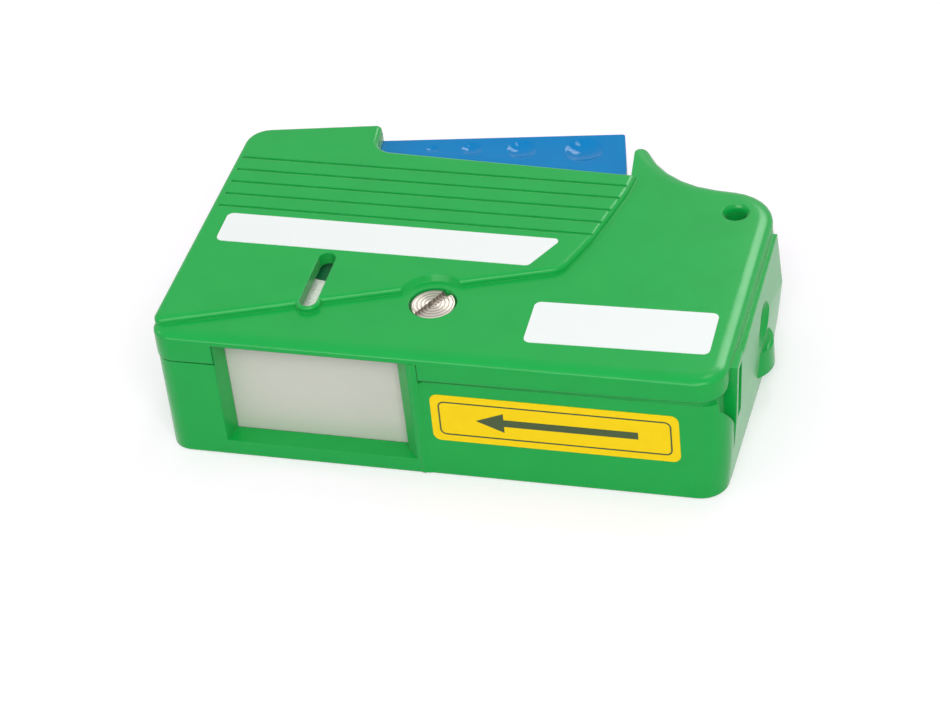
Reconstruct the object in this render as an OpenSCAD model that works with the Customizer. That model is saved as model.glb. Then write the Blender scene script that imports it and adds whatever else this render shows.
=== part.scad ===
// Fibre optic cleaning cassette: a two-part plastic case that holds a reel of lint-free tape.
// Pressing the thumb lever at the back slides the shutter open, and a pawl turns the take-up
// reel, so that fresh tape crosses the backing pad behind the window at the front.
// Millimetres. X runs along the front edge, Y from the front to the back, Z up from the table.

/* [Case] */
// Width of the case along its front edge
case_w = 130; // [129:0.5:131]
// Depth from the front face to the back corner of the lever
case_d = 88.8; // [88.2:0.2:89.4]
// Height of the raised deck above the table
case_h = 35; // [34.6:0.1:36]
// Step from the low deck up to the raised deck
deck_step = 1.5; // [1:0.1:1.8]
// Thickness of the low deck
deck_t = 2.2; // [1.9:0.1:2.4]
// Thickness of the raised deck
raised_t = 3; // [2.6:0.1:3.6]
// Thickness of the side walls of the base
wall = 2.2; // [1.8:0.1:2.4]
// Thickness of the floor
floor_t = 2.2; // [1.8:0.1:2.4]
// Thickness of the skirt of the cover
skirt_t = 1; // [0.8:0.1:1.2]
// Height of the rounded edge round the low deck
deck_edge_r = 1.5; // [0.8:0.1:1.6]
// Width of the rounded edge round the low deck
deck_edge_run = 3.2; // [1.5:0.1:3.5]
// Radius of the rounded edge round the raised deck
raised_edge_r = 1.1; // [0.6:0.1:1.2]
// Radius of the rounded edge round the floor
floor_edge_r = 0.3; // [0.3:0.1:1]
// Height of the parting line at the left end of the front
parting_left = 26.1; // [24:0.1:27]
// Height of the parting line at the right end of the front
parting_right = 27.9; // [26:0.1:28.5]
// How far the rail on the right side stands out from the foot of the base
rail_proud = 3; // [2.6:0.1:3.2]

/* [Front] */
// Width of the window recess
window_w = 44.6; // [43:0.2:45]
// Distance from the left side to the window recess
window_x = 14.7; // [14.4:0.1:15]
// Height of the sill of the window recess
window_sill = 4; // [3.4:0.1:4.4]
// Depth of the window recess in front of the shutter
window_depth = 5.3; // [5:0.1:5.5]
// Width of the chamfer at the right of the window recess
window_chamfer = 2.9; // [2:0.1:3]
// Slope of the left wall of the window recess, measured across its depth
window_draft = 1; // [0.4:0.1:1.2]
// Radius of the upright rib beside the window
rib_r = 1.1; // [0.8:0.1:1.3]
// Depth of the recessed panel that carries the arrow label, at the parting line
panel_depth = 1.1; // [0.6:0.1:1.2]
// Distance from the arrow label to the right end of the panel
arrow_label_end = 9; // [8:0.1:12]
// Height of the arrow label
arrow_label_h = 12.6; // [10:0.2:13.5]
// Thickness of each label
label_t = 0.15; // [0.1:0.05:0.3]

/* [Deck] */
// Number of finger grooves in the raised deck
groove_count = 5; // [3:1:5]
// Distance between finger grooves
groove_pitch = 4.67; // [4:0.05:4.7]
// Width of a finger groove
groove_w = 0.8; // [0.5:0.1:1.2]
// Depth of a finger groove
groove_depth = 0.4; // [0.3:0.1:0.8]
// Width of the slot that shows how much tape is left
slot_w = 4; // [3:0.2:5]
// Length of the slot that shows how much tape is left
slot_len = 19.2; // [15:0.2:20]
// Radius of the strap hole
strap_r = 2.5; // [2:0.1:2.8]
// Radius of the countersink round the strap hole
strap_sink_r = 3.1; // [2.9:0.1:3.6]

/* [Coin screw] */
// Radius of the head
screw_head_r = 5.1; // [4.6:0.1:5.2]
// Thickness of the head
screw_head_t = 1.4; // [1.2:0.1:1.5]
// Radius of the shank
screw_r = 2; // [1.8:0.1:2.1]
// Width of the coin slot
coin_slot_w = 2.1; // [1.4:0.1:2.4]
// Depth of the coin slot
coin_slot_depth = 0.9; // [0.6:0.1:1]

/* [Lever] */
// Angle that the lever turns through when it is pressed
lever_travel = 11; // [9:0.5:11]
// Thickness of the lever's walls
lever_wall = 1.8; // [1.4:0.1:2]
// Radius of the pin that the lever turns on
lever_pin_r = 2; // [1.6:0.1:2.2]
// Teeth that the lever's gear would have as a full circle
lever_teeth = 108; // [108:36:108]
// Teeth that the rocker's gear would have as a full circle
rocker_teeth = 24; // [24:12:24]
// Radius of the wire of the return spring
spring_wire_r = 0.5; // [0.4:0.05:0.6]
// Turns in the return spring
spring_turns = 4; // [3:1:5]

/* [Tape] */
// Room between the tape and the tops of the spindles
spindle_rise = 2.3; // [2:0.1:3]
// Thickness of the cleaning tape
tape_t = 0.15; // [0.1:0.05:0.2]
// Outer radius of the tape left on the supply reel
supply_r = 19; // [15:0.5:19]
// Outer radius of the tape wound on the take-up reel
takeup_r = 12; // [9:0.5:12.5]
// Outer radius of the supply hub
supply_hub_r = 9.5; // [8:0.5:11]
// Outer radius of the take-up hub
takeup_hub_r = 6; // [5:0.5:7]
// Radius of the guide rollers
roller_r = 2.5; // [2.2:0.1:2.6]
// Radius of the roller pins and the pawl pins
pin_r = 1.25; // [1:0.05:1.3]

/* [Ratchet] */
// Number of teeth on the ratchet wheel
ratchet_teeth = 12; // [12:12:12]
// Outer radius of the ratchet wheel
ratchet_r = 18; // [17.6:0.1:18.1]
// Height of a ratchet tooth
ratchet_tooth_h = 3; // [2.6:0.1:3.2]
// Thickness of the ratchet wheel
ratchet_t = 2.4; // [2:0.1:2.6]

/* [Clearances] */
// Clearance all round a pin that something turns on
running_gap = 0.05; // [0.03:0.01:0.08]
// Gap between pieces that slide past each other
slide_gap = 0.3; // [0.2:0.05:0.35]
// Gap between the skirt of the cover and the base
fit_gap = 0.15; // [0.1:0.05:0.25]
// Gap under the rim of the cover at its right end
rim_gap = 2; // [0.4:0.1:2.4]

/* [Hidden] */

// Overrun of a cut past the face that it opens
over = 1;
// Smoothness of round shapes
$fn = 64;
// Largest angle between two points on a rounded corner of an outline
arc_step = 14;
// Least fillet left on a corner that has been moved inwards
least_r = 0.2;

// Heights of the layers, from the floor up
rocker_z = floor_t + slide_gap;
rocker_t = 2;
lever_z = rocker_z + rocker_t + slide_gap;
fork_t = 1.4;
fork_z = lever_z;
ratchet_z = fork_z + fork_t + 2 * slide_gap;
pawl_t = ratchet_t - slide_gap;
hub_z = ratchet_z + ratchet_t;
hub_flange = 1.2;
tape_z = hub_z + hub_flange;
low_deck_z = case_h - deck_step;
under_deck_z = low_deck_z - deck_t;
lever_top_z = under_deck_z - slide_gap;
pin_top_z = lever_top_z - slide_gap;
tape_w = pin_top_z - spindle_rise - tape_z;
hub_top_z = tape_z + tape_w + slide_gap;

// Places on the plan, as shares of the width and the depth of the case
function place(share) = [share[0] * case_w, share[1] * case_d];
lever_pivot_share = [0.2, 0.811];
supply_share = [0.254, 0.44];
takeup_share = [0.8, 0.383];
screw_share = [0.4673, 0.2128];
strap_share = [0.9285, 0.6712];
drive_pawl_share = [0.5538, 0.777];
check_pawl_share = [0.9192, 0.5833];
slot_share = [0.2573, 0.2466];
lever_pivot = place(lever_pivot_share);
supply_at = place(supply_share);
takeup_at = place(takeup_share);
screw_at = place(screw_share);
strap_at = place(strap_share);
drive_pawl_at = place(drive_pawl_share);
check_pawl_at = place(check_pawl_share);
slot_at = place(slot_share);

// The corners of each outline, anticlockwise: shares of the case's width and depth for the
// place, and of its width for the fillet
deck_corner_shares = [
    [0, 0, 0.038],
    [0.995, 0, 0.05],
    [0.995, 0.76, 0.085],
    [0.786, 0.784, 0.175],
    [0.7065, 1.005, 0.0142],
    [0.7262, 0.7804, 0.009],
    [0.2538, 0.8018, 0.034],
    [0.247, 0.917, 0.0115],
    [0.0085, 0.852, 0.046]];
panel_x = window_x + window_w + 2 * rib_r;
panel_edge = 0.8;
base_corner_shares = [
    [0.002, 0, 0.038],
    [panel_x / case_w, 0, 0.003],
    [(panel_x + panel_edge) / case_w, 0, 0.003],
    [0.9854, 0, 0.046],
    [0.9854, 0.76, 0.085],
    [0.786, 0.784, 0.175],
    [0.7065, 1.005, 0.0142],
    [0.247, 0.917, 0.0115],
    [0.0105, 0.852, 0.046]];
// The corners of the base that are set back behind the front and those of its right side. The
// front panel leans back towards its top, and the right side bulges out.
panel_corners = [2, 3];
panel_foot = 0.15;
side_corners = [3, 4];
side_bulge = 1.5;
// The raised deck: its step runs straight from the left, then curves up to the lever bay
raised_corner_shares = [
    [0.0012, 0.0275, 0.016],
    [0.6692, 0.369, 0.0385],
    [0.725, 0.6, 0.6],
    [0.738, 0.7799, 0.004],
    [0.2538, 0.8018, 0.034],
    [0.247, 0.917, 0.0115],
    [0.0085, 0.852, 0.046]];
lever_corner_shares = [
    [0.2, 0.758, 0.004],
    [0.7046, 0.7725, 0.004],
    [0.7085, 0.8446, 0.05],
    [0.6808, 1.0056, 0.0054],
    [0.2385, 0.8979, 0.0054],
    [0.2385, 0.866, 0.004],
    [0.2, 0.8626, 0.01]];
title_corner_shares = [
    [0.0454, 0.3682, 0.0115],
    [0.6092, 0.3682, 0.0115],
    [0.65, 0.4837, 0.0077],
    [0.0454, 0.4837, 0.0115]];
function corners(shares) = [for (s = shares) [s[0] * case_w, s[1] * case_d, s[2] * case_w]];
deck_corners = corners(deck_corner_shares);
// The outline of the deck as if its lever bay, between the horn and the back corner, were filled
bay_corners = [5, 6];
whole_corners = [for (i = [0 : len(deck_corners) - 1]) if (len(search(i, bay_corners)) == 0) deck_corners[i]];
base_corners = corners(base_corner_shares);
raised_corners = corners(raised_corner_shares);
lever_corners = corners(lever_corner_shares);
// How far the raised deck stands back from the edge of the low deck
raised_inset = 0.1;
// How far the side and the two ends of its rail stand out at each height, as shares of the
// whole and of the height under the deck
bulge_shares = [[0, 0], [0.5, 0.18], [0.8, 0.37], [1, 0.54], [0.9, 0.74], [0.8, 1]];
rail_front_shares = [[0, 0], [0.6, 0.5], [0.75, 0.7], [0.95, 1]];
rail_back_shares = [[0.13, 0], [0.47, 0.18], [0.77, 0.37], [1, 0.54], [0.87, 0.74], [0.78, 1]];

// Sizes of the bosses, posts and pockets inside the base
spindle_r = 3;
shoulder_r = 5;
post_r = 2.4;
roller_seat_r = 1.65;
pillar_foot_r = 3.8;
pillar_r = 5;
insert_r = 3;
insert_len = 9;
screw_len = 14;
screw_boss_r = 6;
screw_boss_t = 1.9;
ring_r = 3.3;
ring_t = 0.6;
strap_tube_r = 4.6;
lever_boss_r = 4.5;
pin_depth = 1.2;
rocker_pin_r = 1.5;

// The screw's seat, its scallop in the step of the deck and its shank
head_gap = 0.3;
screw_sink = 0.2;
screw_top_z = low_deck_z - screw_sink;
screw_seat_z = screw_top_z - screw_head_t;
scallop_r = 7.6;
scallop_slope = 0.7;
screw_slot_angle = 62;
pillar_top_z = under_deck_z - screw_boss_t - 2 * slide_gap - ring_t;
insert_z = pillar_top_z - insert_len;

// The window, and the shutter behind it
frame_wall = 2;
frame_depth = window_depth - 0.2;
shutter_t = 1;
shutter_lap = 1.2;
shutter_x = window_x - shutter_lap;
shutter_w = window_w - window_chamfer + 2 * shutter_lap;
shutter_y = window_depth;
// The rollers stand at the two ends of the window, with room for the shutter in front of them
roller_overhang = 0.7;
roller_y = shutter_y + shutter_t + roller_r + 2.2;
roller_left_at = [window_x - 2.7, roller_y];
roller_right_at = [window_x + window_w + roller_overhang, roller_y];
rail_t = 0.8;
rail_h = 2.2;
fork_wall = 1.1;
stud_r = 1.2;
stud_gap = 0.3;
fork_end = 0.7;

// The rocker gear: its distance from the lever's pivot sets the module of both gears
mesh_dist = 0.4671 * case_w;
mesh_angle = -14.5;
gear_module = 2 * mesh_dist / (lever_teeth + rocker_teeth);
gear_ratio = lever_teeth / rocker_teeth;
pressure_angle = 20;
addendum = 0.9;
dedendum = 1.25;
backlash = 0.12;
sector_depth = 10;
sector_before = 5;
sector_after = 4.5;
rocker_at = lever_pivot + mesh_dist * [cos(mesh_angle), sin(mesh_angle)];
rocker_swing = lever_travel * gear_ratio;
rocker_reach = rocker_at[1] - shutter_y - shutter_t - stud_r - 1;
stud_at = rocker_at + rocker_reach * [-sin(rocker_swing / 2), -cos(rocker_swing / 2)];
rocker_arm_w = 3;

// The ratchet: the face that the drive pawl pushes, and the one that the check pawl holds
ratchet_pitch = 360 / ratchet_teeth;
drive_face = 168.5;
check_face = drive_face - 3 * ratchet_pitch;
ratchet_root_r = ratchet_r - ratchet_tooth_h;
ramp_steps = 5;
pawl_w = 3.4;
pawl_eye_r = 3;
pawl_lift = 0.75;
pawl_face_gap = 0.5;

// The backing pad and the platform that carries it
pad_end_gap = 4.5;
pad_w = roller_right_at[0] - roller_left_at[0] - 2 * (roller_r + pad_end_gap);
pad_t = 1.1;
platform_t = 1.8;
platform_foot = 4;

// The rail on the right side, the pocket in front of it and the groove behind its front end
rail_front = 8.3;
rail_back = 57;
rail_ledge_y = 14.5;
rail_ledge_drop = 1;
pocket_y = 2.8;
pocket_depth = 2.2;
pocket_front_z = 23.5;
pocket_z = 15.5;
side_groove_y = 9.7;
side_groove_w = 3;
side_groove_depth = 1.4;
side_groove_z = 16.3;
side_groove_top = 30;
// The rounded boss half way along the rail, with its scoop
boss_y = 38.5;
boss_z = 8;
boss_top = 14.5;
boss_r = 7;
boss_proud = 1.3;
scoop_y = 36.5;
scoop_z = 20.5;
scoop_r = 7.5;
scoop_depth = 2.6;

// The maker's label and the arrow label
maker_label_w = 40.9;
maker_label_h = 14;
maker_label_share = [0.8, 0.1774];
maker_label_turn = 1.6;
maker_label_r = 1.5;
arrow_label_x = panel_x + panel_edge + 1.2;
arrow_label_w = base_corners[3][0] - arrow_label_x - arrow_label_end;
arrow_label_z = 10.1;
arrow_label_r = 1.8;
border_inset = 1.7;
border_w = 0.35;
border_r = 1.5;
print_t = 0.05;
arrow_tip_share = 0.182;
arrow_head_share = 0.295;
arrow_tail_share = 0.835;
arrow_head_h = 5.2;
arrow_shaft_h = 1.85;
groove_first_y = 45.7;
groove_left = 2.6;
groove_right_share = [0.711, 0.7155, 0.7195, 0.7245, 0.728];

// Colours
green = [0.16, 0.62, 0.3];
blue = [0, 0.5, 0.78];
steel = [0.75, 0.75, 0.72];
brass = [0.8, 0.65, 0.3];
white = [0.96, 0.96, 0.95];
yellow = [1, 0.84, 0.1];
print_green = [0.1, 0.25, 0.12];
plate_grey = [0.78, 0.78, 0.74];
hub_grey = [0.2, 0.2, 0.22];
pad_grey = [0.35, 0.36, 0.38];
acetal = [0.9, 0.9, 0.86];

// Outline functions. A corner is [x, y, fillet radius]
function neighbour(list, i) = list[(i + len(list)) % len(list)];
function flat(c) = [c[0], c[1]];
function unit(v) = v / norm(v);
function left_of(v) = [-v[1], v[0]];
function turned(v, a) = [v[0] * cos(a) - v[1] * sin(a), v[0] * sin(a) + v[1] * cos(a)];
function polar(r, a) = [r * cos(a), r * sin(a)];
function bend_sign(u, v) = sign(u[0] * v[1] - u[1] * v[0]);
function along(cs, i) = unit(flat(neighbour(cs, i + 1)) - flat(neighbour(cs, i)));

// The same corners moved inwards by d, so that straight sides stay parallel
function inset(cs, d) = [for (i = [0 : len(cs) - 1])
    let (u = along(cs, i - 1), v = along(cs, i),
        p = flat(cs[i]) + (left_of(u) + left_of(v)) * d / (1 + u * v))
    [p[0], p[1], max(cs[i][2] - bend_sign(u, v) * d, least_r)]];

// The points of an outline with its corners filleted, with as many points in each fillet as the
// outline named like has
function bend_at(cs, i) = acos(along(cs, i - 1) * along(cs, i));
function rounded(cs, like) = [for (i = [0 : len(cs) - 1])
    let (u = along(cs, i - 1), s = bend_sign(u, along(cs, i)), r = cs[i][2],
        bend = bend_at(cs, i), n = ceil(bend_at(like, i) / arc_step),
        spoke = left_of(u) * s * r,
        centre = flat(cs[i]) - u * r * tan(bend / 2) + spoke)
    for (k = [0 : n]) centre - turned(spoke, s * bend * k / n)];

// A plate of the given outline from height z0 to z1
module plate(cs, z0, z1) {
    translate([0, 0, z0]) linear_extrude(z1 - z0) polygon(rounded(cs, cs));
}

// A solid through a list of rings, each [height, corners]
module lofted(rings) {
    m = len(rings);
    layers = [for (ring = rings) rounded(ring[1], rings[m - 1][1])];
    n = len(layers[0]);
    points = [for (j = [0 : m - 1]) for (p = layers[j]) [p[0], p[1], rings[j][0]]];
    sides = [for (j = [0 : m - 2]) for (i = [0 : n - 1]) let (next = (i + 1) % n)
        for (side = [[n + i, n + next], [n + next, next]]) [j * n + i, j * n + side[0], j * n + side[1]]];
    bottom = [for (i = [0 : n - 1]) i];
    top = [for (i = [0 : n - 1]) m * n - 1 - i];
    polyhedron(points, concat([bottom, top], sides), convexity = 10);
}

// Rings of a rounded edge, rise high and run wide, going in towards a top at z
edge_steps = 5;
function top_rings(cs, z, rise, run) = [for (k = [0 : edge_steps])
    let (a = 90 * k / edge_steps) [z - rise + rise * sin(a), inset(cs, run * (1 - cos(a)))]];

module post(at, r, z0, z1) {
    translate([at[0], at[1], z0]) cylinder(r = r, h = z1 - z0);
}

module in_place() {
    translate([-case_w / 2, -case_d / 2, 0]) children();
}

// Involute gear outlines
function involute(r, base) = let (a = acos(base / r)) tan(a) * 180 / PI - a;
function half_tooth(teeth, r) = let (pitch_r = gear_module * teeth / 2, base = pitch_r * cos(pressure_angle))
    90 / teeth - backlash / pitch_r * 90 / PI
    + involute(pitch_r, base) - involute(max(r, base), base);
function tooth_radii(teeth) = let (pitch_r = gear_module * teeth / 2)
    [pitch_r - dedendum * gear_module, pitch_r - addendum / 2 * gear_module, pitch_r,
    pitch_r + addendum / 2 * gear_module, pitch_r + addendum * gear_module];
// A row of teeth about the origin, the first of them at angle a0
function teeth_points(teeth, count, a0) = [for (k = [0 : count - 1])
    let (a = a0 + k * 360 / teeth, radii = tooth_radii(teeth), last = len(radii) - 1)
    for (j = [0 : 2 * last + 1])
    let (r = radii[j <= last ? j : 2 * last + 1 - j], side = j <= last ? -1 : 1)
    polar(r, a + side * half_tooth(teeth, r))];

// The space above the parting line, lowered at its left and right ends
module above_parting(drop_left, drop_right) {
    translate([0, case_d + over, 0]) rotate([90, 0, 0]) linear_extrude(case_d + 2 * over)
        polygon([[-over, parting_left - drop_left], [case_w + over, parting_right - drop_right],
            [case_w + over, case_h + over], [-over, case_h + over]]);
}

// Where the skirt goes: all round but the right side, the lever bay and the horn
skirt_end_y = 7.6;
skirt_end_r = 4.8;
module skirt_zone(drop_left, drop_right) {
    difference() {
        above_parting(drop_left, drop_right);
        translate([case_w * 0.97, skirt_end_y, 0]) cube([case_w, case_d, case_h + 2 * over]);
        translate([bay_left_x, bay_front_y, 0]) cube([case_w, case_d, case_h + 2 * over]);
        // The lower edge of the skirt curves up to the deck at the end of the right side
        translate([case_w * 0.97, skirt_end_y - skirt_end_r, parting_right]) rotate([90, 0, 90])
            linear_extrude(case_w) difference() {
                reach = skirt_end_r + over;
                translate([0, -over - drop_right]) square([reach, reach + drop_right]);
                translate([0, skirt_end_r]) circle(r = skirt_end_r);
            }
    }
}
bay_left_x = 0.2346 * case_w;
bay_front_y = 0.72 * case_d;
bay_right_x = 0.7145 * case_w;

// Plan of the window recess: a drafted wall on its left and a chamfer on its right
module window_plan() {
    right = window_x + window_w;
    polygon([[window_x - window_draft * over / window_depth, -over], [right + over, -over],
        [right, 0], [right - window_chamfer, window_chamfer],
        [right - window_chamfer, window_depth + over],
        [window_x + window_draft, window_depth + over], [window_x + window_draft, window_depth]]);
}
rib_x = window_x + window_w + rib_r;

// Base of the case
side_x = base_corners[3][0];
rail_x = side_x + rail_proud;

module rail_end(y, shares) {
    translate([0, y + over, 0]) rotate([90, 0, 0]) linear_extrude(over)
        polygon(concat([[side_x - wall, under_deck_z], [side_x - wall, 0]],
            [for (share = shares) [side_x + share[0] * rail_proud, share[1] * under_deck_z]]));
}

module side_rail() {
    hull() {
        rail_end(rail_front, rail_front_shares);
        rail_end(rail_back - over, rail_back_shares);
    }
    at = [rail_x + boss_proud - boss_r, boss_y];
    intersection() {
        union() {
            post(at, boss_r, boss_z, boss_top);
            translate([at[0], at[1], boss_z - boss_proud])
                cylinder(r1 = boss_r - boss_proud, r2 = boss_r, h = boss_proud);
        }
        translate([side_x - over, rail_front, 0]) cube([boss_r, rail_back, case_h]);
    }
}

module side_cuts() {
    translate([rail_x - side_groove_depth, side_groove_y, side_groove_z])
        cube([case_w, side_groove_w, side_groove_top - side_groove_z]);
    // The pocket in front of the rail, under the end of the cover's skirt
    translate([side_x + side_bulge - pocket_depth, 0, 0]) rotate([90, 0, 90]) linear_extrude(case_w)
        polygon([[pocket_y, case_h], [pocket_y, pocket_front_z],
            [rail_front, pocket_z], [rail_front, case_h]]);
    // The ledge beside the cover is lower behind the front end of the rail
    translate([deck_corners[1][0] + fit_gap, rail_ledge_y, under_deck_z - rail_ledge_drop])
        cube([case_w, rail_back, case_h]);
    translate([rail_x - scoop_depth + scoop_r, scoop_y, scoop_z]) sphere(r = scoop_r);
}

// The outline of the base at a share of its height, with that share of its side's bulge
function base_outline(height, bulge) = [for (i = [0 : len(base_corners) - 1])
    let (c = base_corners[i])
    [c[0] + (len(search(i, side_corners)) > 0 ? bulge * side_bulge : 0),
    c[1] + (len(search(i, panel_corners)) > 0 ? panel_foot + height * (panel_depth - panel_foot) : 0),
    c[2]]];

module case_walls() {
    difference() {
        lofted(concat([[0, inset(base_outline(0, 0), floor_edge_r)], [floor_edge_r, base_outline(0, 0)]],
            [for (i = [1 : len(bulge_shares) - 1]) let (share = bulge_shares[i])
                [share[1] * under_deck_z, base_outline(share[1], share[0])]]));
        plate(inset(base_outline(1, 0), wall), floor_t, case_h);
        translate([bay_left_x, bay_front_y, floor_t])
            cube([bay_right_x - bay_left_x, case_d, case_h]);
        // Nothing stands behind the horn
        difference() {
            translate([bay_right_x - over, bay_front_y, floor_t]) cube([case_w * 0.05, case_d, case_h]);
            plate(deck_corners, 0, case_h);
        }
    }
}

// Solid foot of the horn, beside the end of the lever
module horn_post() {
    intersection() {
        plate(deck_corners, floor_t - over, under_deck_z);
        translate([bay_right_x, bay_front_y, 0]) cube([case_w * 0.06, case_d, case_h]);
    }
}

module base_posts() {
    post(supply_at, shoulder_r, floor_t - over, tape_z - supply_washer_t - slide_gap);
    post(supply_at, spindle_r, floor_t - over, pin_top_z);
    post(takeup_at, shoulder_r, floor_t - over, ratchet_z - slide_gap);
    post(takeup_at, spindle_r, floor_t - over, pin_top_z);
    post(screw_at, pillar_foot_r, floor_t - over, ratchet_z);
    post(screw_at, pillar_r, ratchet_z, pillar_top_z);
    post(strap_at, strap_tube_r, floor_t - over, under_deck_z);
    post(lever_pivot, lever_boss_r, floor_t - over, lever_z - slide_gap);
    post(check_pawl_at, post_r, floor_t - over, ratchet_z - slide_gap / 2);
    for (at = [roller_left_at, roller_right_at]) {
        post(at, post_r, floor_t - over, lever_z - slide_gap);
        post(at, roller_seat_r, floor_t - over, tape_z - slide_gap);
    }
    post(spring_post_at, post_r, floor_t - over, spring_top_z);
}

module case_base() {
    color(green) in_place() difference() {
        union() {
            case_walls();
            horn_post();
            base_posts();
            side_rail();
            // The frame of the window recess, and the rail in front of the shutter
            translate([window_x - frame_wall, 0, floor_t - over])
                cube([window_w + frame_wall + 2 * rib_r, frame_depth, under_deck_z - floor_t + over]);
            translate([window_x - frame_wall, frame_depth - rail_t, floor_t - over])
                cube([case_w * 0.68, rail_t, rail_h + over]);
            translate([window_x - frame_wall, shutter_y + shutter_t + slide_gap, floor_t - over])
                cube([window_w, rail_t, rail_h + over]);
            // The upright rib beside the window
            post([rib_x, rib_r * 0.8], rib_r, floor_edge_r, under_deck_z);
        }
        side_cuts();
        // The rebate that the skirt of the cover fits over
        difference() {
            skirt_zone(2 * fit_gap, rim_gap);
            plate(inset(deck_corners, skirt_t + fit_gap), 0, case_h);
            translate([window_x, -over, 0])
                cube([window_w + 2 * rib_r, 2 * over + window_depth, case_h]);
        }
        translate([0, 0, window_sill]) linear_extrude(case_h) window_plan();
        // Bores
        post(strap_at, strap_r, -over, case_h);
        post(screw_at, insert_r, insert_z, case_h);
        post(screw_at, screw_r + running_gap, insert_z - insert_len / 2, case_h);
        post(lever_pivot, lever_pin_r, pin_depth, case_h);
        post(rocker_at, rocker_pin_r, pin_depth, case_h);
        for (at = [roller_left_at, roller_right_at, check_pawl_at])
            post(at, pin_r, pin_depth, case_h);
    }
}

// Top cover, with its raised deck, grooves, slot and openings
slot_lip = 0.8;
module cover_blank() {
    raised_edge = inset(raised_corners, raised_inset);
    difference() {
        intersection() {
            lofted(concat([[parting_left - over, whole_corners]],
                top_rings(whole_corners, low_deck_z, deck_edge_r, deck_edge_run)));
            plate(deck_corners, 0, case_h);
        }
        plate(inset(deck_corners, skirt_t), 0, under_deck_z);
        // The skirt stays only in its own zone
        difference() {
            translate([-over, -over, 0]) cube([case_w + 2 * over, case_d + 2 * over, under_deck_z]);
            skirt_zone(0, 0);
        }
    }
    lofted(concat([[under_deck_z + deck_t / 4, raised_edge]],
        top_rings(raised_edge, case_h, raised_edge_r, raised_edge_r)));
    // A lip round the front end of the slot, where it reaches past the step
    slot_front = slot_at - [0, (slot_len - slot_w) / 2];
    post(slot_front, slot_w / 2 + slot_lip, under_deck_z + deck_t / 4, case_h - slot_lip / 2);
    translate([slot_front[0], slot_front[1], case_h - slot_lip / 2])
        cylinder(r1 = slot_w / 2 + slot_lip, r2 = slot_w / 2 + slot_lip / 2, h = slot_lip / 2);
    post(screw_at, screw_boss_r, under_deck_z - screw_boss_t, screw_seat_z);
    // Two rails that hold the top edge of the shutter
    for (y = [shutter_y - slide_gap - rail_t, shutter_y + shutter_t + slide_gap])
        translate([window_x + window_draft + slide_gap, y, under_deck_z - rail_t])
            cube([window_w - window_chamfer - window_draft - 2 * slide_gap, rail_t, rail_t + over / 2]);
}

module screw_scallop() {
    translate([screw_at[0], screw_at[1], low_deck_z])
        cylinder(r1 = scallop_r, r2 = scallop_r + scallop_slope, h = deck_step);
    translate([screw_at[0], screw_at[1], case_h])
        cylinder(r = scallop_r + scallop_slope, h = over);
}

module top_cover() {
    color(green) in_place() difference() {
        cover_blank();
        // The hollow under the raised deck keeps both decks near one thickness
        plate(inset(raised_corners, 2 * raised_edge_r), under_deck_z - over, case_h - raised_t);
        for (k = [0 : groove_count - 1])
            translate([groove_left, groove_first_y + k * groove_pitch - groove_w / 2, case_h - groove_depth])
                cube([groove_right_share[k] * case_w - groove_left, groove_w, groove_depth + over]);
        // The slot over the supply reel
        for (end = [-1, 1])
            post(slot_at + [0, end * (slot_len - slot_w) / 2], slot_w / 2, 0, case_h + over);
        translate([slot_at[0] - slot_w / 2, slot_at[1] - (slot_len - slot_w) / 2, 0])
            cube([slot_w, slot_len - slot_w, case_h + over]);
        // The screw's seat and its scallop
        screw_scallop();
        post(screw_at, screw_head_r + head_gap, screw_seat_z, case_h + over);
        post(screw_at, screw_r + 2 * running_gap, 0, case_h);
        // The strap hole and its countersink
        post(strap_at, strap_r, 0, case_h + over);
        translate([strap_at[0], strap_at[1], low_deck_z - deck_t / 2])
            cylinder(r1 = strap_r, r2 = strap_sink_r, h = deck_t / 2);
        // The window
        linear_extrude(under_deck_z) window_plan();
        translate([window_x - fit_gap, -over, 0])
            cube([window_w + 2 * rib_r + 2 * fit_gap, over + skirt_t + fit_gap, under_deck_z]);
    }
}

// The coin screw stays in the cover: a ring under the boss holds it when it is undone
module coin_screw() {
    color(steel) in_place() difference() {
        union() {
            post(screw_at, screw_head_r, screw_seat_z, screw_top_z);
            post(screw_at, screw_r, screw_seat_z - screw_len, screw_top_z - coin_slot_depth);
        }
        translate([screw_at[0], screw_at[1], screw_top_z - coin_slot_depth])
            rotate([0, 0, screw_slot_angle]) translate([-case_h / 2, -coin_slot_w / 2, 0])
            cube([case_h, coin_slot_w, coin_slot_depth + over]);
    }
}

module screw_retaining_ring() {
    z = pillar_top_z + slide_gap;
    color(steel) in_place() difference() {
        post(screw_at, ring_r, z, z + ring_t);
        post(screw_at, screw_r, z - over, z + ring_t + over);
    }
}

module threaded_insert() {
    color(brass) in_place() difference() {
        post(screw_at, insert_r, insert_z, pillar_top_z);
        post(screw_at, screw_r + running_gap, insert_z - over, pillar_top_z + over);
    }
}

// Labels
module title_label() {
    color(white) in_place() plate(corners(title_corner_shares), case_h, case_h + label_t);
}

function label_corners(w, h, r) = [[0, 0, r], [w, 0, r], [w, h, r], [0, h, r]];

module maker_label() {
    at = place(maker_label_share);
    color(white) in_place() translate([at[0], at[1], low_deck_z]) rotate([0, 0, maker_label_turn])
        translate([-maker_label_w / 2, -maker_label_h / 2, 0])
        plate(label_corners(maker_label_w, maker_label_h, maker_label_r), 0, label_t);
}

// Stands a flat shape up against the leaning panel, facing the front
module on_panel(proud) {
    lean = atan((panel_depth - panel_foot) / under_deck_z);
    translate([arrow_label_x, panel_foot, 0]) rotate([90 - lean, 0, 0])
        translate([0, arrow_label_z, proud]) children();
}

module arrow_label() {
    color(yellow) in_place() on_panel(0)
        plate(label_corners(arrow_label_w, arrow_label_h, arrow_label_r), 0, label_t);
}

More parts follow.
